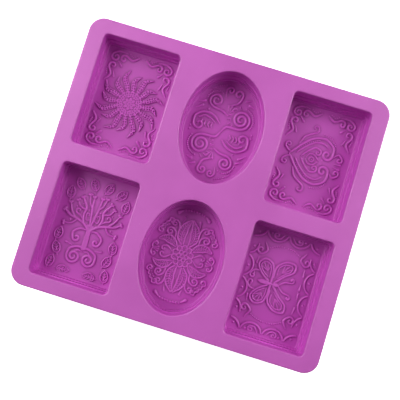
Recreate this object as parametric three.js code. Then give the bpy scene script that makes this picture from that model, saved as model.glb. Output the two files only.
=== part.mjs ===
// Silicone soap mould: a flat deck with six cells hanging under it, four rectangular and two oval.
// The real mould is one casting of silicone. It is split here into its regions, which meet face to face.
// Millimetres, +Z up. The origin is under the middle of the deck, on the surface that the cells stand on.
// +X runs along the deck's longer side, and +Y towards the row of the sunflower, paisley and heart cells.
import * as THREE from "three";

// Cells, measured at their openings in the deck
const CELL_WIDTH = 56.4;
const CELL_LENGTH = 80.4;
const CELL_CORNER_RADIUS = 3.4;
const OVAL_WIDTH = 57.4;
const OVAL_LENGTH = 80.6;

// Deck. Its size follows from the cells, the webs between them and the margins around them.
const COLUMN_WEB = 13.1;
const ROW_WEB = 14;
const SIDE_MARGIN = 11.8;
const END_MARGIN = 10.15;
const DECK_THICKNESS = 2;
const DECK_CORNER_RADIUS = 10.7;

// Bead that stiffens the deck's edge from below
const BEAD_WIDTH = 3;
const BEAD_DROP = 2.5;
const BEAD_TAPER = 0.5;

// Drop of each stretch of a cell's inner wall. Together they are the depth of a cell.
const UPPER_DROP = 12; // from the deck's top face to the upper ledge
const MIDDLE_DROP = 7; // to the lower ledge
const LOWER_DROP = 4; // to the floor

// Walls, ledges and floor
const WALL_THICKNESS = 2;
const FLOOR_THICKNESS = 2;
const LEDGE_WIDTH = 0.65;
const DRAFT = 0.012; // how far a wall leans in, for each millimetre of its drop
const FLOOR_FILLET = 0.6;
const FLOOR_MARGIN = 1.2; // flat border that belongs to the frame, around the floor panel
const BASE_ROUNDING = 1.2;

// Smoothness of the round stretches
const CORNER_STEPS = 5;
const OVAL_STEPS = 48;
const DECK_CORNER_STEPS = 9;

const columnPitch = CELL_WIDTH / 2 + COLUMN_WEB + OVAL_WIDTH / 2;
const rowPitch = Math.max(CELL_LENGTH, OVAL_LENGTH) + ROW_WEB;
const deckWidth = 2 * columnPitch + CELL_WIDTH + 2 * SIDE_MARGIN;
const deckLength = rowPitch + Math.max(CELL_LENGTH, OVAL_LENGTH) + 2 * END_MARGIN;

const floorTop = FLOOR_THICKNESS;
const lowerLedge = floorTop + LOWER_DROP;
const upperLedge = lowerLedge + MIDDLE_DROP;
const deckTop = upperLedge + UPPER_DROP;
const deckBottom = deckTop - DECK_THICKNESS;

const silicone = {
  deck: new THREE.MeshStandardMaterial({ color: 0xc873be, roughness: 0.5, metalness: 0 }),
  wall: new THREE.MeshStandardMaterial({ color: 0xb35ba9, roughness: 0.5, metalness: 0 }),
  frame: new THREE.MeshStandardMaterial({ color: 0xa850a0, roughness: 0.5, metalness: 0 }),
  floor: new THREE.MeshStandardMaterial({ color: 0xb052a9, roughness: 0.5, metalness: 0 }),
};

// Points of a rounded rectangle around the origin, anticlockwise.
function roundedRectangle(width, length, radius, steps) {
  const points = [];
  const corners = [
    [1, 1],
    [-1, 1],
    [-1, -1],
    [1, -1],
  ];
  corners.forEach(([sideX, sideY], quarter) => {
    const centreX = sideX * (width / 2 - radius);
    const centreY = sideY * (length / 2 - radius);
    const start = (quarter * Math.PI) / 2;
    const arc = new THREE.EllipseCurve(centreX, centreY, radius, radius, start, start + Math.PI / 2);
    points.push(...arc.getPoints(steps));
  });
  return points;
}

// Points of an ellipse around the origin, anticlockwise.
function ellipse(width, length, steps) {
  return new THREE.EllipseCurve(0, 0, width / 2, length / 2, 0, 2 * Math.PI).getPoints(steps).slice(0, steps);
}

const deckOutline = (inset) =>
  roundedRectangle(
    deckWidth - 2 * inset,
    deckLength - 2 * inset,
    DECK_CORNER_RADIUS - inset,
    DECK_CORNER_STEPS,
  );

// A rectangular cell's corners tighten as the outline moves in, and never vanish.
const rectangleOutline = (inset) =>
  roundedRectangle(
    CELL_WIDTH - 2 * inset,
    CELL_LENGTH - 2 * inset,
    Math.max(CELL_CORNER_RADIUS - inset, CELL_CORNER_RADIUS / 4),
    CORNER_STEPS,
  );

const ovalOutline = (inset) => ellipse(OVAL_WIDTH - 2 * inset, OVAL_LENGTH - 2 * inset, OVAL_STEPS);

// Joins outlines, each [inset, height], into one surface. A closed section gives a ring. An open one is
// closed on the axis at both ends and gives a plate. Outside, sections run upwards.
function sweep(outlineAt, section, { closed }) {
  const rows = section.map(([inset, height]) => outlineAt(inset).map((p) => [p.x, p.y, height]));
  const count = rows[0].length;
  const positions = rows.flat(2);
  const index = [];
  const quads = closed ? rows.length : rows.length - 1;
  for (let row = 0; row < quads; row++) {
    const next = (row + 1) % rows.length;
    for (let i = 0; i < count; i++) {
      const j = (i + 1) % count;
      const [a, b, c, d] = [row * count + i, row * count + j, next * count + j, next * count + i];
      index.push(a, b, c, a, c, d);
    }
  }
  if (!closed) {
    const bottomCentre = positions.length / 3;
    const topCentre = bottomCentre + 1;
    const topRow = (rows.length - 1) * count;
    positions.push(0, 0, section[0][1], 0, 0, section.at(-1)[1]);
    for (let i = 0; i < count; i++) {
      const j = (i + 1) % count;
      index.push(bottomCentre, j, i, topCentre, topRow + i, topRow + j);
    }
  }
  const geometry = new THREE.BufferGeometry();
  geometry.setAttribute("position", new THREE.Float32BufferAttribute(positions, 3));
  geometry.setIndex(index);
  geometry.computeVertexNormals();
  return geometry;
}

function part(name, geometry, material) {
  const mesh = new THREE.Mesh(geometry, material);
  mesh.name = name;
  return mesh;
}

// The wall leans in with its draft, so each inset follows from the one above it.
const draftOver = (drop) => drop * DRAFT;
const upperWallInset = draftOver(deckBottom - upperLedge);
const frameTopInset = upperWallInset + LEDGE_WIDTH;
const middleInset = frameTopInset + draftOver(upperLedge - lowerLedge);
const frameLowInset = middleInset + LEDGE_WIDTH;
const footInset = frameLowInset + draftOver(lowerLedge - floorTop);
const floorInset = footInset + FLOOR_FILLET + FLOOR_MARGIN;
const outerInset = (height) => -WALL_THICKNESS + draftOver(deckBottom - height);

// Straight upper wall, from the deck's underside down to the first ledge.
function wallGeometry(outlineAt) {
  const section = [
    [outerInset(upperLedge), upperLedge],
    [outerInset(deckBottom), deckBottom],
    [0, deckBottom],
    [upperWallInset, upperLedge],
  ];
  return sweep(outlineAt, section, { closed: true });
}

// Stepped frame: two narrow ledges, the wall under each, and the rounded foot that meets the floor.
function frameGeometry(outlineAt) {
  const section = [
    [outerInset(0) + BASE_ROUNDING, 0],
    [outerInset(0) + BASE_ROUNDING * 0.3, BASE_ROUNDING * 0.3],
    [outerInset(BASE_ROUNDING), BASE_ROUNDING],
    [outerInset(upperLedge), upperLedge],
    [frameTopInset, upperLedge],
    [middleInset, lowerLedge],
    [frameLowInset, lowerLedge],
    [footInset, floorTop + FLOOR_FILLET],
    [footInset + FLOOR_FILLET * 0.3, floorTop + FLOOR_FILLET * 0.3],
    [footInset + FLOOR_FILLET, floorTop],
    [floorInset, floorTop],
    [floorInset, 0],
  ];
  return sweep(outlineAt, section, { closed: true });
}

function floorGeometry(outlineAt) {
  const section = [
    [floorInset, 0],
    [floorInset, floorTop],
  ];
  return sweep(outlineAt, section, { closed: false });
}

const cells = [
  { name: "sunflower", column: -1, row: 0.5, outlineAt: rectangleOutline },
  { name: "paisley", column: 0, row: 0.5, outlineAt: ovalOutline },
  { name: "heart", column: 1, row: 0.5, outlineAt: rectangleOutline },
  { name: "tree", column: -1, row: -0.5, outlineAt: rectangleOutline },
  { name: "blossom", column: 0, row: -0.5, outlineAt: ovalOutline },
  { name: "butterfly", column: 1, row: -0.5, outlineAt: rectangleOutline },
];

function cellGroup({ name, column, row, outlineAt }) {
  const group = new THREE.Group();
  group.position.set(column * columnPitch, row * rowPitch, 0);
  group.add(
    part(`${name}_wall`, wallGeometry(outlineAt), silicone.wall),
    part(`${name}_step_frame`, frameGeometry(outlineAt), silicone.frame),
    part(`${name}_floor`, floorGeometry(outlineAt), silicone.floor),
  );
  return group;
}

// Flat sheet with an opening over each cell.
function deckGeometry() {
  const sheet = new THREE.Shape(deckOutline(0));
  for (const { column, row, outlineAt } of cells) {
    const centre = new THREE.Vector2(column * columnPitch, row * rowPitch);
    sheet.holes.push(new THREE.Path(outlineAt(0).map((p) => p.clone().add(centre))));
  }
  return new THREE.ExtrudeGeometry(sheet, { depth: DECK_THICKNESS, bevelEnabled: false }).translate(
    0,
    0,
    deckBottom,
  );
}

function beadGeometry() {
  const section = [
    [BEAD_TAPER, deckBottom - BEAD_DROP],
    [0, deckBottom - BEAD_DROP + BEAD_TAPER],
    [0, deckBottom],
    [BEAD_WIDTH, deckBottom],
    [BEAD_WIDTH - BEAD_TAPER, deckBottom - BEAD_DROP],
  ];
  return sweep(deckOutline, section, { closed: true });
}

const mould = new THREE.Group();
mould.add(
  part("deck", deckGeometry(), silicone.deck),
  part("edge_bead", beadGeometry(), silicone.deck),
  ...cells.map(cellGroup),
);

export default mould;
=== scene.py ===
# Silicone soap mould: a deck with six cells, each with a stepped wall and a patterned floor.
# Metres, +Z up. The cells stand on z = 0, and the deck is on top.
import math
from collections import namedtuple

import bmesh
import bpy
import numpy as np
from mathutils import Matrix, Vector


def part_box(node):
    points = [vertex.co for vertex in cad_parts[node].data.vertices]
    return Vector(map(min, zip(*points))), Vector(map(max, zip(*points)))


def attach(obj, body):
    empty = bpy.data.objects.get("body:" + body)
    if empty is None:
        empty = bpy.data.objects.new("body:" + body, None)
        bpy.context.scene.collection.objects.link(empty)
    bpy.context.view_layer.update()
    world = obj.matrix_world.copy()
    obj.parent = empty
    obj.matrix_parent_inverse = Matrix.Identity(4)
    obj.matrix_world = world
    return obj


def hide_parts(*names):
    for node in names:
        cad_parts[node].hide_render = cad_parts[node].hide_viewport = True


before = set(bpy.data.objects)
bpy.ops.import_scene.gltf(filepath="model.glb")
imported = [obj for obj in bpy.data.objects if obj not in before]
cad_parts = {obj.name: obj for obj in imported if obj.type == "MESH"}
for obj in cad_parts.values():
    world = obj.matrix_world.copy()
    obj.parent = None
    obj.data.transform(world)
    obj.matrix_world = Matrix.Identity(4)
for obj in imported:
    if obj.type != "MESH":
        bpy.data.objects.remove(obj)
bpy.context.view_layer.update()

MM = 0.001

# Sizes that the casting keeps all over
WALL = 2 * MM
DRAFT = 0.012  # how far a wall leans in, as a share of its drop
LEDGE = 0.65 * MM
LEDGE_RADIUS = 0.25 * MM
LOWER_DROP = 4 * MM  # from the lower ledge to the floor
FOOT_RADIUS = 0.6 * MM
FLOOR_BORDER = 1.2 * MM
BASE_RADIUS = 1.2 * MM
RIM_RADIUS = 0.9 * MM
RIM_BAND = 0.3 * MM  # level strip beside a rounded rim, which keeps the deck's shading flat
UNDER_FILLET = 1.2 * MM
CELL_CORNER = 3.4 * MM
DECK_CORNER = 10.7 * MM
BEAD_WIDTH = 3 * MM
BEAD_RADIUS = 0.9 * MM
BEAD_LIP = 0.3 * MM

CORNER_SEGMENTS = 10
OVAL_POINTS = 128
ARC_STEPS = 6

Cell = namedtuple("Cell", "name oval x y width length")


def read_cell(name, oval):
    """A cell's middle and the size of its opening, from its wall in the frame."""
    low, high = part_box(f"{name}_wall")
    size, middle = high - low, (low + high) / 2
    return Cell(name, oval, middle.x, middle.y, size.x - 2 * WALL, size.y - 2 * WALL)


deck_low, deck_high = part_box("deck")
deck_bottom, deck_top = deck_low.z, deck_high.z
bead_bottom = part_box("edge_bead")[0].z
upper_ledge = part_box("sunflower_wall")[0].z
floor_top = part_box("sunflower_floor")[1].z
lower_ledge = floor_top + LOWER_DROP


# ---- Modelling helpers -------------------------------------------------------------------------------


def begin(name):
    """An empty mesh at the origin, open in edit mode."""
    bpy.ops.object.select_all(action="DESELECT")
    bpy.ops.object.add(type="MESH")
    bpy.context.object.name = name
    bpy.ops.object.mode_set(mode="EDIT")
    bpy.ops.mesh.select_mode(type="FACE")


def pick(kind, test):
    """Selects the faces or edges of the open mesh that pass a test, and nothing else."""
    bpy.ops.mesh.select_mode(type=kind)
    bpy.ops.mesh.select_all(action="DESELECT")
    mesh = bmesh.from_edit_mesh(bpy.context.object.data)
    for item in mesh.faces if kind == "FACE" else mesh.edges:
        item.select_set(test(item))
    bmesh.update_edit_mesh(bpy.context.object.data)


def is_at(height):
    """A test for edges that lie at a height and have a face on one side at most."""
    return lambda edge: is_open(edge) and all(abs(v.co.z - height) < SAME_HEIGHT for v in edge.verts)


def is_open(edge):
    return len(edge.link_faces) < 2


SAME_HEIGHT = 1e-6


def add_outline(cell, height, outset=0.0):
    """A flat face with the outline of a cell's opening, grown by outset."""
    middle = (cell.x, cell.y, height)
    width, length = cell.width + 2 * outset, cell.length + 2 * outset
    if cell.oval:
        bpy.ops.mesh.primitive_circle_add(
            vertices=OVAL_POINTS, radius=0.5, fill_type="NGON", location=middle
        )
        bpy.ops.transform.resize(value=(width, length, 1), center_override=middle)
    else:
        add_rounded_rectangle(middle, width, length, CELL_CORNER + outset)


def add_rounded_rectangle(middle, width, length, radius):
    bpy.ops.mesh.primitive_plane_add(size=1, location=middle)
    bpy.ops.transform.resize(value=(width, length, 1), center_override=middle)
    bpy.ops.mesh.bevel(
        offset=radius,
        offset_type="OFFSET",
        segments=CORNER_SEGMENTS,
        affect="VERTICES",
        clamp_overlap=False,
    )
    bpy.ops.mesh.select_mode(type="FACE")


def add_deck_outline():
    width, length = deck_high.x - deck_low.x, deck_high.y - deck_low.y
    add_rounded_rectangle((0, 0, deck_bottom), width, length, DECK_CORNER)


def convex(radius):
    """Inset steps that round an edge from level over to a sheer drop, as (thickness, drop)."""
    angles = [math.pi / 2 * i / ARC_STEPS for i in range(ARC_STEPS + 1)]
    return [
        (radius * (math.sin(b) - math.sin(a)), radius * (math.cos(a) - math.cos(b)))
        for a, b in zip(angles, angles[1:])
    ]


def concave(radius):
    """Inset steps from a sheer drop round to level."""
    return [(thickness, drop) for drop, thickness in convex(radius)]


def upwards(steps):
    return [(thickness, -drop) for thickness, drop in steps]


def wall_step(drop):
    """One inset step down a drafted wall."""
    return (drop * DRAFT, drop)


def run_insets(steps, down):
    """Insets the selected faces step by step. down is the sign of a drop along the faces' normal."""
    for thickness, drop in steps:
        bpy.ops.mesh.inset(thickness=thickness, depth=drop * down, use_even_offset=True)


def fill_facing_down():
    """Closes the selected loop with a face that looks down."""
    bpy.ops.mesh.edge_face_add()
    bpy.ops.mesh.select_mode(type="FACE")
    mesh = bmesh.from_edit_mesh(bpy.context.object.data)
    if any(face.select and face.normal.z > 0 for face in mesh.faces):
        bpy.ops.mesh.flip_normals()


def shape_ring(top, inner_steps, outer_steps):
    """Turns the open mesh's flat face at the top into a closed ring. One run of insets shapes its inside,
    another its outside, and a bridge joins their ends."""
    run_insets(inner_steps, down=-1)
    bpy.ops.mesh.delete(type="FACE")
    pick("EDGE", is_at(top))
    fill_facing_down()
    run_insets(outer_steps, down=1)
    bpy.ops.mesh.delete(type="FACE")
    pick("EDGE", is_open)
    bpy.ops.mesh.bridge_edge_loops()


def end(smooth_angle=50):
    """Leaves edit mode with all faces pointing out, and returns the piece."""
    bpy.ops.mesh.select_all(action="SELECT")
    bpy.ops.mesh.normals_make_consistent(inside=False)
    bpy.ops.object.mode_set(mode="OBJECT")
    bpy.ops.object.shade_smooth_by_angle(angle=math.radians(smooth_angle))
    return bpy.context.object


def place(piece, material, *nodes):
    """Gives a finished piece its material and its body, and hides the nodes that it stands for."""
    piece.data.materials.clear()
    piece.data.materials.append(material)
    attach(piece, "root")
    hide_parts(*nodes)


# ---- Raised patterns ---------------------------------------------------------------------------------

GRAIN = 0.22  # spacing of a floor's grid, in millimetres
SAMPLE = 0.15  # spacing of the points along a path
RIDGE_WIDTH = 1.9  # at its foot
RIDGE_HEIGHT = 0.85
RIDGE_TAPER = 4.0  # how far from its ends a ridge grows thin, at most
FEW_POINTS = 12  # a path with fewer points than this is still to be smoothed
RELIEF = 1.25  # how much all the heights are stretched
ROUNDNESS = 0.75  # half gives a ridge the section of half an ellipse, and one gives a parabola


def spline(points, closed=False):
    """A smooth curve through points, without overshoot, sampled evenly."""
    points = np.array(points, float)
    if closed:
        points = np.vstack([points[-1], points, points[:2]])
    else:
        points = np.vstack([2 * points[0] - points[1], points, 2 * points[-1] - points[-2]])
    pieces = []
    for before, start, end, after in zip(points, points[1:], points[2:], points[3:]):
        back, size, on = (math.dist(*ends) ** 0.5 for ends in ((before, start), (start, end), (end, after)))
        chord = (end - start) / size
        leave = chord + (start - before) / back - (end - before) / (back + size)
        arrive = chord + (after - end) / on - (after - start) / (size + on)
        count = max(2, int(math.dist(start, end) / SAMPLE) + 1)
        t = np.linspace(0, 1, count, endpoint=False)[:, None]
        pieces.append(
            start
            + (end - start) * t**2 * (3 - 2 * t)
            + size * leave * t * (1 - t) ** 2
            + size * arrive * t**2 * (t - 1)
        )
    pieces.append(points[-2:-1])
    return np.vstack(pieces)


def polar(centre, radius, degrees):
    return (
        centre[0] + radius * math.cos(math.radians(degrees)),
        centre[1] + radius * math.sin(math.radians(degrees)),
    )


def arc(centre, radius, start, end):
    """Part of a circle, between two angles in degrees."""
    count = max(4, int(abs(math.radians(end - start)) * radius / SAMPLE))
    return np.array([polar(centre, radius, a) for a in np.linspace(start, end, count)])


def curl(stem, centre, turns, hand, tightness=0.22):
    """A stem that runs into a spiral without a kink. The stem's last point gives the spiral's size and
    where it would start. hand is 1 for anticlockwise and -1 for clockwise."""
    radius, start = reach_and_angle(stem[-1], centre)
    stem, sweep = stem[:-1], 360 * turns
    if len(stem) > 1 and reach_and_angle(stem[-1], centre)[0] < 1.15 * radius:
        stem = stem[:-1]
    away, bearing = reach_and_angle(stem[-1], centre)
    if away > radius:
        tangent = bearing + hand * math.degrees(math.acos(radius / away))
        sweep += (hand * (start - tangent) + 180) % 360 - 180
        start = tangent
    steps = max(5, round(sweep / 30))
    shares = [i / steps for i in range(steps + 1)]
    spiral = [polar(centre, radius * (1 - (1 - tightness) * s), start + hand * sweep * s) for s in shares]
    return spline([*stem, *spiral])


def reach_and_angle(point, centre):
    """A point's distance from a centre, and its bearing in degrees."""
    u, v = point[0] - centre[0], point[1] - centre[1]
    return math.hypot(u, v), math.degrees(math.atan2(v, u))


def turned(points, place, degrees):
    """Points turned about the origin, and moved to a place."""
    c, s = math.cos(math.radians(degrees)), math.sin(math.radians(degrees))
    return np.array(points, float) @ np.array([[c, s], [-s, c]]) + np.array(place, float)


def distances(path):
    """How far along a path each of its points lies."""
    return np.r_[0, np.cumsum(np.linalg.norm(np.diff(path, axis=0), axis=1))]


def point_along(path, run, distance):
    """The point, or the points, at a distance along a path."""
    return np.stack([np.interp(distance, run, path[:, k]) for k in (0, 1)], axis=-1)


class Pattern:
    """What stands up from a cell's floor, in millimetres from the cell's middle."""

    def __init__(self):
        self.raised = []
        self.sunk = []
        self.mirrors = [(1, 1)]

    def add(self, store, path, half_width, height, edge):
        for mirror in self.mirrors:
            store.append((np.array(path) * mirror, half_width, height, edge))

    def ridge(self, path, width=RIDGE_WIDTH, height=RIDGE_HEIGHT, ends=(0.55, 0.75)):
        """A rounded ridge along a path, thinner towards its ends."""
        path = np.array(path, float)
        if len(path) < FEW_POINTS:
            path = spline(path)
        run = distances(path)
        reach = min(run[-1] / 2, RIDGE_TAPER)
        share = np.interp(run, [0, reach, run[-1] - reach, run[-1]], [ends[0], 1, 1, ends[1]])
        self.add(self.raised, path, width / 2 * share, height * np.sqrt(share), width / 2 * share)

    def dots(self, places, width=1.5, height=0.7):
        places = np.array(places, float)
        half = np.full(len(places), width / 2)
        self.add(self.raised, places, half, np.full(len(places), height), half)

    def pits(self, places, width=1.1, depth=0.45):
        places = np.array(places, float)
        half = np.full(len(places), width / 2)
        self.add(self.sunk, places, half, np.full(len(places), depth), half)

    def groove(self, path, width=1.0, depth=0.4):
        path = spline(path)
        half = np.full(len(path), width / 2)
        self.add(self.sunk, path, half, np.full(len(path), depth), half)

    def swelling(self, path, widths, height=0.5, edge=0.5):
        """A raised area with a level top, whose width follows a list of widths along its path."""
        path = spline(path)
        half = np.interp(np.linspace(0, 1, len(path)), np.linspace(0, 1, len(widths)), widths) / 2
        full = np.full(len(path), 1.0)
        self.add(self.raised, path, half, height * np.minimum(1, half / edge), np.minimum(edge * full, half))

    def beads(self, path, spacing=1.7, width=1.3, height=0.65):
        """Dots at even steps along a path."""
        path = np.array(path, float)
        run = distances(path)
        count = max(2, round(run[-1] / spacing) + 1)
        at = np.linspace(0, run[-1], count)
        self.dots(point_along(path, run, at), width, height)

    def drop(self, base, tip, width=2.0, height=0.7):
        """A teardrop, thin at its base and round at its tip."""
        base, tip = np.array(base, float), np.array(tip, float)
        path = base + (tip - base) * np.linspace(0, 1, 24)[:, None]
        half = width / 2 * np.linspace(0.35, 1, 24)
        self.add(self.raised, path, half, height * np.sqrt(half / half[-1]), half)

    def height_map(self, width, length):
        """Heights over the floor's grid, in millimetres."""
        across, along = round(width / GRAIN) + 1, round(length / GRAIN) + 1
        up, down = (stamp(store, across, along, width, length) for store in (self.raised, self.sunk))
        return RELIEF * np.maximum(up - down, 0)


def stamp(store, across, along, width, length):
    """Stamps every sample of every path on a grid, and keeps the highest value at each point."""
    heights = np.zeros((across, along))
    step_u, step_v = width / (across - 1), length / (along - 1)
    for path, half, height, edge in store:
        reach = int(math.ceil(half.max() / min(step_u, step_v))) + 1
        offsets = np.arange(-reach, reach + 1)
        near_u = np.rint((path[:, 0] + width / 2) / step_u).astype(int)
        near_v = np.rint((path[:, 1] + length / 2) / step_v).astype(int)
        i = (near_u[:, None] + offsets)[:, :, None] + 0 * offsets
        j = (near_v[:, None] + offsets)[:, None, :] + 0 * offsets[:, None]
        far = np.hypot(
            i * step_u - width / 2 - path[:, 0, None, None],
            j * step_v - length / 2 - path[:, 1, None, None],
        )
        inside = np.clip((half[:, None, None] - far) / edge[:, None, None], 0, 1)
        value = height[:, None, None] * (1 - (1 - inside) ** 2) ** ROUNDNESS
        keep = (i >= 0) & (i < across) & (j >= 0) & (j < along) & (value > 0)
        np.maximum.at(heights, (i[keep], j[keep]), value[keep])
    return heights


FOUR_WAYS = [(1, 1), (-1, 1), (1, -1), (-1, -1)]
LEFT_AND_RIGHT = [(1, 1), (-1, 1)]
ABOVE_AND_BELOW = [(1, 1), (1, -1)]
HALF_TURN = [(1, 1), (-1, -1)]


def corner_scrolls(pattern):
    """Three curls, a string of beads and two drops in each corner of an oblong floor."""
    pattern.mirrors = FOUR_WAYS
    pattern.ridge(curl([(2.6, 34.4), (7.4, 31.4), (12.6, 33.8)], (13.6, 31.0), 0.9, -1), 1.8)
    pattern.ridge(curl([(12.0, 35.4), (18.0, 35.8), (22.8, 33.0)], (20.0, 31.0), 1.1, -1), 1.8)
    pattern.ridge(curl([(23.6, 12.6), (20.4, 17.4), (22.8, 22.4)], (20.4, 24.2), 0.9, 1), 1.8)
    pattern.beads(spline([(4.6, 35.6), (7.4, 34.0), (10.0, 35.6)]), 1.5, 1.1)
    pattern.beads(spline([(23.6, 25.0), (24.0, 21.0), (23.4, 17.4)]), 1.5, 1.1)
    pattern.drop((17.4, 28.4), (14.2, 25.2), 1.9)
    pattern.drop((19.0, 20.4), (17.6, 16.6), 1.7)


def leaf(pattern, base, size, heading, width):
    """A fallen leaf: an outline, a midrib that runs on as a stalk, and three pairs of veins."""
    tip = polar(base, size, heading)
    for hand in (1, -1):
        edge = [
            polar(polar(base, along * size, heading), out * width, heading + 90 * hand)
            for along, out in ((0.14, 0.33), (0.42, 0.5), (0.72, 0.42))
        ]
        pattern.ridge(spline([base, *edge, tip]), 1.25, 0.85, (0.8, 0.8))
        for share in (0.14, 0.38, 0.6):
            start = polar(base, share * size, heading)
            pattern.ridge([start, polar(start, 0.42 * width, heading + 44 * hand)], 0.95, 0.75)
    pattern.ridge([polar(base, -1.6, heading), base, polar(base, 0.85 * size, heading)], 1.1, 0.75)


PETAL_LOOK_AHEAD = 0.2  # how far on a petal's direction is taken from


def petal(pattern, centre, base, middle, tip, size):
    """A curved petal with two rows of pits, which meet near its tip. Its base, middle and tip are
    bearings from the centre."""
    shoulder = (base + 2 * middle) / 3
    reaches = ((8.6, base), (0.56 * size, shoulder), (0.8 * size, middle), (size, tip))
    spots = [polar(centre, reach, bearing) for reach, bearing in reaches]
    pattern.swelling(spots, [2.4, 3.1, 3.6, 3.8, 3.6, 2.7, 1.6, 0.6], 0.95, 0.35)
    path = spline(spots)
    run = distances(path)
    rows = np.arange(1.4, run[-1] * 0.86, 1.85)
    for row in rows:
        spot = point_along(path, run, row)
        ahead = point_along(path, run, row + PETAL_LOOK_AHEAD)
        half_gap = 0.85 if row < rows[-1] - 1 else 0
        side = (ahead - spot)[::-1] * (-1, 1) / PETAL_LOOK_AHEAD * half_gap
        pattern.pits([spot + side, spot - side], 1.25, 0.95)


def sunflower():
    pattern = Pattern()
    centre = (0, 0)
    for i in range(16):
        bearing = 22.5 * i
        petal(pattern, centre, bearing, bearing + 3, bearing - 8, 25 if i % 2 else 21.5)
    # Middle: a raised disc with rings of pits and a scalloped groove
    pattern.swelling([polar(centre, 4.4, a) for a in range(0, 361, 24)], [9.6, 9.6], 0.8, 0.35)
    pattern.pits([polar(centre, 8.0, 360 / 28 * i) for i in range(28)], 1.25, 0.7)
    pattern.pits([polar(centre, 6.3, 360 / 22 * (i + 0.5)) for i in range(22)], 1.1, 0.6)
    for i in range(8):
        middle = polar(centre, 3.7, 45 * i)
        pattern.groove([polar(middle, 1.4, 45 * i + a) for a in (-100, -50, 0, 50, 100)], 0.9, 0.55)
    pattern.pits([polar(centre, 2.1, 45 * i + 20) for i in range(8)], 0.9, 0.6)
    pattern.pits([centre], 1.1, 0.6)
    corner_scrolls(pattern)
    return pattern


def paisley():
    """Scrolls that look the same when the cell is turned end for end."""
    pattern = Pattern()
    pattern.mirrors = HALF_TURN
    ridge = pattern.ridge
    # A scroll from the middle into a large spiral, with a fringe and a string of beads
    hub = (12.0, 12.4)
    ridge(curl([(0, 0), (3.0, 4.4), (9.0, 5.0), (15.4, 6.2)], hub, 1.9, 1), 2.1)
    pattern.beads(arc(hub, 9.2, -32, 80), 1.5, 1.3)
    for bearing in range(104, 235, 20):
        pattern.drop(polar(hub, 7.6, bearing), polar(hub, 9.6, bearing + 6), 1.3)
    # A smaller spiral beside it, and two curls at the end of the oval
    hub = (-9.4, 21.6)
    ridge(curl([(1.4, 13.0), (-3.0, 15.2), (-8.2, 16.4)], hub, 1.7, -1), 1.9)
    pattern.beads(arc(hub, 7.2, 64, 176), 1.5, 1.3)
    ridge(curl([(1.0, 20.4), (6.6, 23.6), (8.8, 29.4)], (5.4, 30.0), 1.1, 1), 1.8)
    ridge(curl([(-3.6, 26.0), (-4.4, 31.0), (-0.4, 34.0)], (-1.2, 31.4), 0.8, -1), 1.6)
    for bearing in (100, 76, 52):
        pattern.drop(polar((1.4, 14.4), 1.8, bearing), polar((1.4, 14.4), 6.0, bearing), 1.7)
    # A paisley drop with a comb of short strokes
    outline = [(-2.6, 5.6), (-8.0, 10.2), (-15.0, 11.2), (-21.2, 7.0), (-21.4, 1.2)]
    ridge(curl(outline, (-17.2, 1.6), 0.9, 1), 1.9)
    ridge([(-5.6, 5.2), (-9.8, 7.6), (-14.6, 8.4), (-18.2, 6.2)], 1.4)
    for i in range(4):
        ridge([(-7.6 - 2.6 * i, 5.0), (-8.2 - 2.5 * i, 2.6), (-7.2 - 2.4 * i, 0.8)], 1.3)
    # What fills the edge
    pattern.drop((-22.8, 12.4), (-18.4, 15.6), 2.0)
    pattern.drop((-21.2, 17.4), (-17.4, 19.0), 1.8)
    pattern.drop((19.2, 23.6), (15.0, 24.4), 2.0)
    pattern.drop((15.6, 28.4), (12.0, 26.8), 1.9)
    pattern.beads(spline([(-15.4, 28.6), (-10.4, 32.4), (-5.6, 34.6)]), 1.6, 1.2)
    pattern.dots([(22.6, 4.0), (22.8, 1.2), (-13.4, 13.8), (4.4, 10.6)], 1.5)
    return pattern


def heart():
    """A heart on its side, with scrolls inside it."""
    pattern = Pattern()
    pattern.mirrors = ABOVE_AND_BELOW
    ridge = pattern.ridge
    outline = [(-17.6, 0.4), (-10.6, 8.8), (-3.0, 15.4), (5.6, 17.0), (12.6, 12.2), (12.8, 4.6)]
    ridge(curl(outline, (9.0, 6.2), 1.0, -1), 2.0)
    ridge([(-12.8, 2.0), (-7.0, 8.4), (-0.8, 12.8), (5.2, 13.4), (9.2, 10.8)], 1.5)
    pattern.beads(spline([(-11.4, 5.6), (-5.4, 11.6), (1.2, 15.0)]), 1.6, 1.0)
    ridge(curl([(-9.0, 0.6), (-5.0, 5.4), (-0.4, 9.0), (4.2, 7.8)], (2.2, 6.0), 0.9, -1), 1.5)
    ridge([(-5.4, 0.6), (-3.0, 3.8), (0.4, 3.6), (3.6, 0.8)], 1.4)
    ridge(arc((-1.2, 0), 1.7, 0, 180), 1.1, ends=(1, 1))
    pattern.dots([(-1.2, 0), (6.4, 1.6), (-7.2, 1.6)], 1.3)
    # Curls at the tip and round the outside
    ridge(curl([(-16.0, 1.6), (-19.0, 2.2), (-22.0, 5.4)], (-19.8, 6.2), 0.9, -1), 1.6)
    ridge(curl([(-12.6, 9.0), (-10.0, 15.0), (-5.4, 20.0)], (-4.0, 22.8), 0.9, 1), 1.6)
    ridge(curl([(14.0, 6.0), (17.4, 8.6), (20.6, 6.4)], (18.6, 5.0), 0.9, -1), 1.6)
    pattern.drop((15.8, 1.2), (20.2, 1.8), 1.8)
    pattern.beads(spline([(13.6, 14.2), (9.4, 18.8), (3.4, 20.2)]), 1.6, 1.2)
    corner_scrolls(pattern)
    return pattern


def branch(pattern, points, width=1.9):
    """A branch that ends in a heart-shaped bud."""
    path = spline(points)
    pattern.ridge(path, width, RIDGE_HEIGHT, (1.0, 0.7))
    ahead = path[-1] - path[-6]
    heading = math.degrees(math.atan2(ahead[1], ahead[0]))
    for a in (45, -45):
        pattern.drop(path[-1], polar(path[-1], 1.15, heading + a), 2.3, 0.95)


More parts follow.
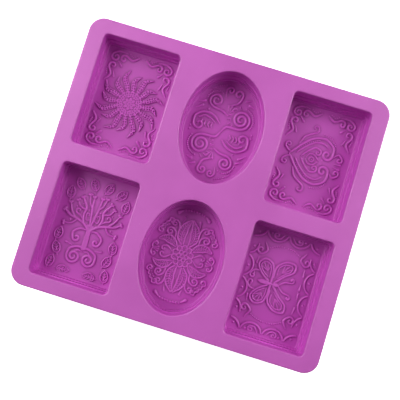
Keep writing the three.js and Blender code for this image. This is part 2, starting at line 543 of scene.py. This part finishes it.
def tree():
    """A tree with the same branches on both sides, and leaves round it."""
    pattern = Pattern()
    pattern.mirrors = LEFT_AND_RIGHT
    ridge = pattern.ridge
    pattern.swelling([(0.4, -15.6), (0.8, -9.0), (0.6, -3.6), (1.6, 0.6)], [3.6, 2.6, 2.6, 3.0], 0.7, 0.6)
    # Crown
    branch(pattern, [(0.8, -2.4), (5.0, 1.4), (11.4, 3.8), (16.4, 4.8), (20.8, 7.6)], 2.3)
    branch(pattern, [(12.2, 4.0), (16.2, 8.4), (18.6, 13.4)], 1.7)
    branch(pattern, [(5.4, 1.6), (7.2, 7.2), (6.6, 13.0), (10.6, 19.4)], 2.1)
    branch(pattern, [(6.8, 11.4), (11.2, 12.8), (13.6, 16.4)], 1.6)
    branch(pattern, [(0.4, 0.6), (1.4, 7.4), (2.4, 14.0), (3.0, 21.4)], 1.9)
    branch(pattern, [(2.2, 13.4), (5.2, 17.4), (6.4, 22.4)], 1.5)
    branch(pattern, [(10.6, 3.4), (14.0, -0.4), (19.0, -1.6)], 1.6)
    ridge(curl([(1.4, 5.4), (4.2, 4.4), (5.0, 7.6)], (3.6, 8.4), 0.8, 1), 1.3)
    ridge(curl([(7.0, 4.4), (9.4, 6.6), (12.2, 7.6)], (11.2, 9.6), 0.8, 1), 1.4)
    pattern.dots([(4.4, 11.8), (13.6, 12.2), (15.6, 1.6), (9.4, 15.2)], 1.4)
    # Tendrils beside the trunk, and roots that end in a pair of spirals
    ridge(curl([(1.6, -2.6), (6.4, -2.6), (10.8, -6.4), (9.8, -11.0)], (7.4, -9.6), 0.9, -1), 2.0)
    ridge(curl([(-2.2, -15.8), (4.0, -15.4), (9.8, -18.4), (10.4, -24.6)], (5.6, -23.0), 1.5, -1), 2.1)
    ridge([(0.4, -18.2), (3.4, -17.8), (5.8, -19.0)], 1.4)
    pattern.drop((8.6, -15.6), (13.6, -14.6), 1.6)
    # Leaves
    for base, heading in (
        ((3.6, 26.6), 64),
        ((12.8, 25.4), 50),
        ((20.4, 16.6), 84),
        ((21.2, -14.2), 98),
        ((17.4, -24.2), 66),
        ((21.4, -35.0), 100),
        ((14.2, -34.4), 176),
    ):
        leaf(pattern, base, 9.0, heading, 5.4)
    return pattern


def blade(pattern, points, widths, veins):
    """A long leaf: an outline, a midrib and pairs of veins."""
    path = spline(points)
    run = np.linspace(0, 1, len(path))
    half = np.interp(run, np.linspace(0, 1, len(widths)), widths) / 2
    ahead = np.gradient(path, axis=0)
    ahead /= np.linalg.norm(ahead, axis=1)[:, None]
    side = np.column_stack([-ahead[:, 1], ahead[:, 0]])
    for hand in (1, -1):
        pattern.ridge(path + hand * side * half[:, None], 1.5, 0.85, (0.8, 0.8))
    pattern.ridge(path[: int(0.9 * len(path))], 0.9, 0.6)
    for share in np.linspace(0.16, 0.84, veins):
        k = int(share * len(path))
        for hand in (1, -1):
            tip = path[k] + ahead[k] * 1.1 + hand * side[k] * half[k] * 0.62
            pattern.drop(path[k] + hand * side[k] * 0.15, tip, 1.05, 0.7)


def blossom():
    """A round flower with eight leaves, the same in all four quarters."""
    pattern = Pattern()
    ridge = pattern.ridge
    centre = (0, 0)
    # Flower head in three layers
    ridge(arc(centre, 1.5, 0, 360), 1.1, 0.75, (1, 1))
    pattern.dots([polar(centre, 0.7, a) for a in (30, 150, 270)], 0.8)
    for i in range(6):
        ridge(arc(polar(centre, 3.0, 60 * i), 1.35, 60 * i - 125, 60 * i + 125), 1.1, 0.75, (1, 1))
    for i in range(10):
        a = 36 * i + 18
        ridge(arc(polar(centre, 6.0, a), 1.85, a - 118, a + 118), 1.35, 0.7, (1, 1))
        pattern.dots([polar(centre, 6.4, a), polar(centre, 5.2, a - 9), polar(centre, 5.2, a + 9)], 0.9, 0.45)
    # Leaves and tendrils
    pattern.mirrors = FOUR_WAYS
    blade(pattern, [(2.6, 8.2), (4.8, 14.0), (4.0, 20.0), (0.6, 26.6)], [1.6, 5.4, 6.4, 4.2, 0.6], 9)
    blade(pattern, [(6.4, 5.8), (10.8, 8.8), (15.6, 9.4), (19.8, 7.8)], [1.6, 4.6, 5.4, 3.4, 0.6], 7)
    ridge(curl([(9.0, 9.4), (9.6, 15.4), (14.6, 17.8)], (13.6, 15.0), 1.1, -1), 1.8)
    ridge(curl([(7.4, 15.6), (8.4, 21.4), (12.2, 24.0)], (11.8, 21.4), 0.9, -1), 1.7)
    ridge(curl([(8.4, 1.4), (12.4, 4.2), (15.6, 3.6)], (14.6, 1.9), 0.7, -1), 1.5)
    pattern.drop((6.8, 22.4), (5.8, 27.0), 1.8)
    # Border: small double curls round the oval, and a row of beads at each end
    double_curl(pattern, (17.6, 18.6), 36)
    pattern.mirrors = LEFT_AND_RIGHT
    fleur(pattern, (21.0, 0), 0)
    pattern.mirrors = ABOVE_AND_BELOW
    pattern.beads(arc((0, 4.0), 29.4, 76, 104), 2.1, 1.8)
    pattern.mirrors = FOUR_WAYS
    pattern.drop(polar((0, 4.0), 29.2, 73), polar((0, 4.0), 28.0, 66), 2.8, 0.9)
    return pattern


def double_curl(pattern, place, heading):
    """Two small curls back to back, with three dots on their spine."""
    for hand in (1, -1):
        stem = [(0.9, 0), (1.9, 1.6 * hand), (0.9, 3.2 * hand), (1.8, 5.2 * hand), (-0.4, 6.9 * hand)]
        path = curl(stem, (-0.6, 4.9 * hand), 0.75, hand)
        pattern.ridge(turned(path, place, heading), 1.6, 0.85)
    pattern.dots(turned([(-0.8, 0), (-0.9, 2.0), (-0.9, -2.0)], place, heading), 1.0, 0.5)


def fleur(pattern, place, heading):
    """Two small curls with three drops between them, which point away from a heading."""
    for hand in (1, -1):
        path = curl([(1.4, 0), (2.2, 2.4 * hand), (-0.4, 5.2 * hand)], (-0.2, 3.6 * hand), 0.7, hand)
        pattern.ridge(turned(path, place, heading), 1.6, 0.85)
    for v in (1.7, 0, -1.7):
        pattern.drop(*turned([(0.8, 0.3 * v), (-2.6, v)], place, heading), 1.3)


def butterfly():
    """A butterfly in a scalloped frame."""
    pattern = Pattern()
    pattern.mirrors = ABOVE_AND_BELOW
    ridge = pattern.ridge
    # Body and feelers
    pattern.swelling([(-13.4, 0), (-8.0, 0), (-1.6, 0)], [1.0, 3.4, 3.4, 2.4, 1.2], 0.95, 0.8)
    pattern.swelling([(-1.4, 0), (1.6, 0)], [2.4, 3.0, 2.0], 0.95, 0.8)
    ridge(curl([(2.0, 0.4), (6.0, 3.6), (11.0, 4.6)], (10.6, 6.4), 0.7, 1), 1.5, ends=(0.6, 1.2))
    # Front wing, then back wing, each with an outline, an inner line, veins and dots
    front = [(-1.4, 1.4), (4.6, 7.6), (10.4, 12.6), (10.2, 17.4), (3.4, 17.8), (-2.6, 12.6), (-3.2, 5.0)]
    back = [(-3.8, 1.4), (-4.2, 8.4), (-6.4, 14.4), (-12.2, 16.2), (-15.8, 12.0), (-12.2, 6.0), (-6.0, 1.6)]
    for outline, middle in ((front, (3.4, 12.4)), (back, (-9.8, 10.4))):
        path = spline(outline)
        ridge(path, 1.8, ends=(1, 1))
        inner = np.array(middle) + 0.68 * (path - np.array(middle))
        ridge(inner, 1.2)
        for share in (0.3, 0.42, 0.54, 0.66):
            k = int(share * len(path))
            ridge([inner[k], np.array(middle) * 0.75 + np.array(outline[0]) * 0.25], 1.1, 0.7)
            pattern.dots([(inner[k] + path[k]) / 2], 1.0, 0.5)
    ridge(curl([(-13.6, 7.0), (-17.6, 6.4), (-20.2, 3.0)], (-18.0, 2.6), 0.8, 1), 1.6)
    # Scalloped frame with a spiral in every scallop
    pattern.mirrors = FOUR_WAYS
    for x in (8.2, 24.4):
        ridge(arc((x, 38.4), 8.1, 186, 354 if x < 20 else 272), 1.7, ends=(0.8, 0.8))
    for y in (8.2, 24.4):
        ridge(arc((27.6, y), 8.1, 96 if y < 20 else 176, 264), 1.5, ends=(0.8, 0.8))
    ridge(curl([(3.4, 36.0), (6.0, 32.8), (9.6, 32.8)], (8.6, 34.8), 1.1, 1), 1.6)
    pattern.dots([(12.4, 35.2), (21.6, 33.6), (22.8, 8.2), (22.6, 22.6)], 1.8)
    ridge(curl([(15.4, 27.6), (12.6, 22.4), (15.4, 19.0)], (17.2, 21.4), 1.0, 1), 1.7)
    pattern.beads(spline([(1.6, 27.6), (6.4, 26.8), (11.2, 24.6)]), 1.6, 1.2)
    pattern.drop((17.2, 16.0), (17.6, 11.6), 1.8)
    pattern.drop((17.4, 5.4), (17.4, 1.4), 1.7)
    return pattern


# ---- Silicone ----------------------------------------------------------------------------------------


class Value:
    """A shader socket that Python operators work on. Each operation adds a node."""

    def __init__(self, shader, socket):
        self.shader, self.socket = shader, socket

    def math(self, operation, first, second):
        return self.shader.node("ShaderNodeMath", {"operation": operation}, {0: first, 1: second})

    def __add__(self, other):
        return self.math("ADD", self, other)

    def __mul__(self, other):
        return self.math("MULTIPLY", self, other)

    __radd__, __rmul__ = __add__, __mul__


class Shader:
    """A material under construction."""

    def __init__(self, name):
        self.material = bpy.data.materials.new(name)
        self.material.use_nodes = True
        self.tree = self.material.node_tree
        self.tree.nodes.clear()
        self.place = self.node("ShaderNodeTexCoord", output="Object")

    def node(self, kind, settings=None, inputs=None, output=0):
        """Adds a node, makes its settings, then sets or links its inputs."""
        node = self.tree.nodes.new(kind)
        for name, setting in (settings or {}).items():
            setattr(node, name, setting)
        for name, given in (inputs or {}).items():
            if isinstance(given, Value):
                self.tree.links.new(given.socket, node.inputs[name])
            else:
                node.inputs[name].default_value = given
        return Value(self, node.outputs[output])

    def noise(self, scale, detail=2.0, roughness=0.5):
        return self.node(
            "ShaderNodeTexNoise",
            inputs={"Vector": self.place, "Scale": scale, "Detail": detail, "Roughness": roughness},
        )

    def remap(self, value, low, high, to_low=0.0, to_high=1.0):
        return self.node(
            "ShaderNodeMapRange",
            inputs={"Value": value, "From Min": low, "From Max": high, "To Min": to_low, "To Max": to_high},
        )

    def mix(self, factor, first, second):
        """A colour between two colours."""
        return self.node(
            "ShaderNodeMix", {"data_type": "RGBA"}, {"Factor": factor, 6: first, 7: second}, output=2
        )

    def finish(self, bump=None, **inputs):
        """Adds the surface itself, with a bump if there is one."""
        if bump:
            height, distance, strength = bump
            inputs["Normal"] = self.node(
                "ShaderNodeBump", inputs={"Height": height, "Distance": distance, "Strength": strength}
            )
        named = {key.replace("_", " "): given for key, given in inputs.items()}
        surface = self.node("ShaderNodeBsdfPrincipled", inputs=named)
        self.node_output(surface)
        return self.material

    def node_output(self, surface):
        output = self.tree.nodes.new("ShaderNodeOutputMaterial")
        self.tree.links.new(surface.socket, output.inputs["Surface"])


def silicone(name, deep, light, shine):
    """Matt moulded silicone: a pigmented rubber with faint clouding, a fine grain and a little dust. It has
    painted highlight, a paler pink, where a pattern stands up, and painted shade, a deeper plum, in the
    pattern's recesses."""
    shader = Shader(name)
    clouds = shader.remap(shader.noise(28.0, 3.0), 0.35, 0.65)
    grain = shader.noise(2600.0, 3.0, 0.6)
    mottle = shader.noise(420.0, 2.0)
    dust = shader.remap(shader.noise(900.0, 1.0), 0.74, 0.80)
    standing_for_painted_light = shader.node("ShaderNodeAttribute", {"attribute_name": STANDING}, output="Fac")
    body = shader.mix(clouds, deep, light)
    # Painted highlight on the crests of a pattern, then painted shade in its recesses
    body = shader.mix(shader.remap(standing_for_painted_light, 0, 1, 0, CREST_HIGHLIGHT_SHARE), body, CREST_PAINTED_HIGHLIGHT)
    body = shader.mix(shader.remap(standing_for_painted_light, 0, -1, 0, RECESS_SHADE_SHARE), body, RECESS_PAINTED_SHADE)
    return shader.finish(
        Base_Color=shader.mix(dust * DUST_SHARE, body, DUST),
        Roughness=0.46 + 0.10 * mottle + 0.15 * dust,
        Specular_IOR_Level=shine,
        IOR=SILICONE_IOR,
        bump=(grain + 0.6 * mottle, 0.00006, 0.35),
    )


# Colours and shares of the painted highlight on crests and of the painted shade in recesses
CREST_PAINTED_HIGHLIGHT = (0.86, 0.17, 0.80, 1)
RECESS_PAINTED_SHADE = (0.25, 0.008, 0.20, 1)
DUST = (0.8, 0.62, 0.78, 1)
CREST_HIGHLIGHT_SHARE = 0.4
RECESS_SHADE_SHARE = 0.65
DUST_SHARE = 0.12
SILICONE_IOR = 1.54
STANDING = "standing_for_painted_light"  # how far a point stands above its surroundings, from -1 to 1; it places the painted highlight on crests and the painted shade in recesses
# One silicone in two tones. The deck's paler, greyer pink is a painted sheen. The cells' deeper, richer pink
# is painted bounce light, the glow of light thrown round inside the cells.
deck_skin_painted_sheen = silicone("purple_silicone_deck_painted_sheen", (0.52, 0.078, 0.462, 1), (0.565, 0.092, 0.505, 1), 1.0)
cell_skin_painted_bounce_light = silicone("purple_silicone_cell_painted_bounce_light", (0.56, 0.061, 0.502, 1), (0.605, 0.071, 0.545, 1), 0.85)


# ---- The casting -------------------------------------------------------------------------------------


def make_deck(cells):
    """A sheet filled between its outline and the six openings, thickened, with all its upper rims rounded."""
    begin("top_deck")
    add_deck_outline()
    bpy.ops.mesh.delete(type="ONLY_FACE")
    for cell in cells:
        add_outline(cell, deck_bottom)
        bpy.ops.mesh.delete(type="ONLY_FACE")
    pick("EDGE", is_open)
    bpy.ops.mesh.fill()
    bpy.ops.mesh.select_all(action="SELECT")
    bpy.ops.mesh.normals_make_consistent(inside=False)
    bpy.ops.mesh.extrude_region_move(
        TRANSFORM_OT_translate={"value": (0, 0, deck_top - deck_bottom - RIM_RADIUS)}
    )
    face_up()
    run_insets([*concave(RIM_RADIUS), (RIM_BAND, 0)], down=1)
    place(end(), deck_skin_painted_sheen, "deck")


def face_up():
    """Turns the selected faces up, if they look down."""
    mesh = bmesh.from_edit_mesh(bpy.context.object.data)
    if any(face.select and face.normal.z < 0 for face in mesh.faces):
        bpy.ops.mesh.flip_normals()


def make_bead():
    begin("rolled_edge")
    add_deck_outline()
    height = deck_bottom - bead_bottom
    underside = [
        (0, height - BEAD_RADIUS),
        *concave(BEAD_RADIUS),
        (BEAD_WIDTH - 2 * BEAD_RADIUS, 0),
        *upwards(convex(BEAD_RADIUS)),
        (0, -(height - BEAD_RADIUS - 2 * BEAD_LIP)),
    ]
    shape_ring(deck_bottom, [(BEAD_WIDTH, 0), (0, BEAD_LIP)], underside)
    place(end(), deck_skin_painted_sheen, "edge_bead")


def make_wall(cell):
    """The upper wall, with a fillet under the deck."""
    begin(f"{cell.name}_upper_wall")
    outset = WALL + UNDER_FILLET
    add_outline(cell, deck_bottom, outset)
    height = deck_bottom - upper_ledge
    shape_ring(
        deck_bottom,
        [(outset, 0), wall_step(height)],
        [*convex(UNDER_FILLET), wall_step(height - UNDER_FILLET)],
    )
    place(end(), cell_skin_painted_bounce_light, f"{cell.name}_wall")


frame_outset = WALL - (deck_bottom - upper_ledge) * DRAFT
frame_inside = [
    (WALL + LEDGE - LEDGE_RADIUS, 0),
    *convex(LEDGE_RADIUS),
    wall_step(upper_ledge - lower_ledge - LEDGE_RADIUS),
    (LEDGE - LEDGE_RADIUS, 0),
    *convex(LEDGE_RADIUS),
    wall_step(LOWER_DROP - LEDGE_RADIUS - FOOT_RADIUS),
    *concave(FOOT_RADIUS),
    (FLOOR_BORDER, 0),
]
frame_reach = sum(thickness for thickness, _ in frame_inside)


def make_frame(cell):
    """The stepped lower wall: two ledges inside, and a rounded base outside."""
    begin(f"{cell.name}_stepped_frame")
    add_outline(cell, upper_ledge, frame_outset)
    outside = [wall_step(upper_ledge - BASE_RADIUS), *concave(BASE_RADIUS)]
    outside.append((frame_reach - sum(thickness for thickness, _ in outside), 0))
    shape_ring(upper_ledge, frame_inside, outside)
    place(end(), cell_skin_painted_bounce_light, f"{cell.name}_step_frame")


def make_floor(cell, pattern):
    """The floor panel: a fine grid inside the frame's outline, thickened downwards, with its pattern
    raised from the grid."""
    begin(f"{cell.name}_patterned_floor")
    add_outline(cell, floor_top, frame_outset)
    bpy.ops.mesh.inset(thickness=frame_reach, depth=0, use_even_offset=True)
    mesh = bmesh.from_edit_mesh(bpy.context.object.data)
    panel = next(face for face in mesh.faces if face.select)
    width = 2 * max(abs(v.co.x - cell.x) for v in panel.verts)
    length = 2 * max(abs(v.co.y - cell.y) for v in panel.verts)
    bpy.ops.mesh.select_all(action="INVERT")
    bpy.ops.mesh.delete(type="FACE")
    bpy.ops.mesh.select_all(action="SELECT")
    bpy.ops.mesh.delete(type="ONLY_FACE")
    heights = pattern.height_map(width / MM, length / MM) * MM
    across, along = heights.shape
    middle = (cell.x, cell.y, floor_top)
    bpy.ops.mesh.primitive_grid_add(
        x_subdivisions=across - 1, y_subdivisions=along - 1, size=1, location=middle
    )
    bpy.ops.transform.resize(value=(width, length, 1), center_override=middle)
    pick("FACE", lambda face: is_outside(face.calc_center_bounds(), cell, width, length))
    bpy.ops.mesh.delete(type="FACE")
    pick("EDGE", is_open)
    bpy.ops.mesh.fill()
    pick("EDGE", is_open)
    bpy.ops.mesh.extrude_edges_move(TRANSFORM_OT_translate={"value": (0, 0, -floor_top)})
    bpy.ops.mesh.edge_face_add()
    piece = end(smooth_angle=85)
    raise_pattern(piece, cell, heights, width, length)
    place(piece, cell_skin_painted_bounce_light, f"{cell.name}_floor")


def is_outside(point, cell, width, length):
    """Whether a point lies outside the panel's outline, or too close to it for a grid face."""
    u = (point.x - cell.x) / (width / 2 - GRID_MARGIN)
    v = (point.y - cell.y) / (length / 2 - GRID_MARGIN)
    return u * u + v * v > 1 if cell.oval else max(abs(u), abs(v)) > 1


GRID_MARGIN = 0.35 * MM


def raise_pattern(piece, cell, heights, width, length):
    """Moves the top of a floor up to the pattern's heights."""
    mesh = piece.data
    places = np.empty(len(mesh.vertices) * 3)
    mesh.vertices.foreach_get("co", places)
    places = places.reshape(-1, 3)
    across, along = heights.shape
    i = np.clip(np.rint(((places[:, 0] - cell.x) / width + 0.5) * (across - 1)), 0, across - 1).astype(int)
    j = np.clip(np.rint(((places[:, 1] - cell.y) / length + 0.5) * (along - 1)), 0, along - 1).astype(int)
    on_top = places[:, 2] > floor_top / 2
    edge_u = np.abs(places[:, 0] - cell.x) / (width / 2)
    edge_v = np.abs(places[:, 1] - cell.y) / (length / 2)
    reach = np.hypot(edge_u, edge_v) if cell.oval else np.maximum(edge_u, edge_v)
    inside = np.clip((1 - reach) * min(width, length) / 2 / GRID_MARGIN - 0.5, 0, 1)
    places[:, 2] += np.where(on_top, heights[i, j] * inside, 0)
    mesh.vertices.foreach_set("co", places.ravel())
    mesh.update()
    # How far each point stands out, which places the painted highlight on crests and the painted shade in
    # recesses
    standing_for_painted_light = np.clip((heights - smoothed(heights)) / STANDING_FULL, -1, 1)
    layer = mesh.attributes.new(STANDING, "FLOAT", "POINT")
    layer.data.foreach_set("value", np.where(on_top, standing_for_painted_light[i, j] * inside, 0))


def smoothed(heights, reach=5, passes=2):
    """Heights averaged over their neighbours, along one way and then the other."""
    box = np.ones(2 * reach + 1) / (2 * reach + 1)
    for _ in range(passes):
        for axis in (0, 1):
            heights = np.apply_along_axis(np.convolve, axis, heights, box, "same")
    return heights


# The height difference that gives the full painted highlight or the full painted shade
STANDING_FULL = 0.38 * MM

designs = {
    "sunflower": sunflower,
    "paisley": paisley,
    "heart": heart,
    "tree": tree,
    "blossom": blossom,
    "butterfly": butterfly,
}
cells = [read_cell(name, name in ("paisley", "blossom")) for name in designs]
make_deck(cells)
make_bead()
for cell in cells:
    make_wall(cell)
    make_frame(cell)
    make_floor(cell, designs[cell.name]())


# ---- Studio ------------------------------------------------------------------------------------------


def make_stage():
    """A white table that the mould lies on, with a wall far round it. The wall lights nothing."""
    shader = Shader("white_table_top")
    shader.finish(
        Base_Color=(0.8, 0.8, 0.8, 1),
        Roughness=0.9,
        Emission_Color=(1, 1, 1, 1),
        Emission_Strength=1.0,
    )
    bpy.ops.object.select_all(action="DESELECT")
    bpy.ops.mesh.primitive_circle_add(
        vertices=STAGE_SIDES, radius=STAGE_RADIUS, fill_type="NGON", location=(0, 0, -TABLE_GAP)
    )
    table = bpy.context.object
    table.name = "white_table"
    bpy.ops.mesh.primitive_cylinder_add(
        vertices=STAGE_SIDES,
        radius=STAGE_RADIUS,
        depth=STAGE_RADIUS,
        end_fill_type="NOTHING",
        location=(0, 0, STAGE_RADIUS / 2),
    )
    wall = bpy.context.object
    wall.name = "white_backdrop"
    for kind in ("diffuse", "glossy", "transmission", "shadow"):
        setattr(wall, "visible_" + kind, False)
    for piece in (table, wall):
        piece.data.materials.append(shader.material)


STAGE_RADIUS = 9.0
STAGE_SIDES = 64
TABLE_GAP = 0.0002  # keeps the table clear of the cells' undersides


def add_softbox(name, place, size, power):
    """A soft light that faces the middle of the deck."""
    light = bpy.data.lights.new(name, "AREA")
    light.shape = "RECTANGLE"
    light.size, light.size_y = size
    light.energy = power
    lamp = bpy.data.objects.new(name, light)
    bpy.context.scene.collection.objects.link(lamp)
    lamp.location = place
    lamp.rotation_euler = (-lamp.location).to_track_quat("-Z", "Y").to_euler()


def make_camera():
    """Looks almost straight down, with the mould turned in the picture."""
    camera = bpy.data.cameras.new("camera")
    camera.lens = 60.41
    camera.sensor_width = 36
    camera.shift_x, camera.shift_y = 0.021, -0.055
    holder = bpy.data.objects.new("camera", camera)
    bpy.context.scene.collection.objects.link(holder)
    holder.location = (0.0046, -0.0267, deck_top + 0.4637)
    holder.rotation_euler = [math.radians(a) for a in (4.5, 0.44, 17.15)]
    bpy.context.scene.camera = holder


make_stage()
make_camera()
add_softbox("left_softbox", (-0.72, 0.2, 0.6), (0.55, 0.85), 8.8)
add_softbox("right_softbox", (0.72, 0.37, 0.6), (0.55, 0.75), 7.4)
add_softbox("front_fill", (0, -0.9, 0.7), (0.9, 0.5), 0.9)

world = bpy.data.worlds.new("studio")
world.use_nodes = True
world.node_tree.nodes["Background"].inputs["Color"].default_value = (1, 1, 1, 1)
world.node_tree.nodes["Background"].inputs["Strength"].default_value = 0.02
bpy.context.scene.world = world
bpy.context.scene.view_settings.view_transform = "Standard"
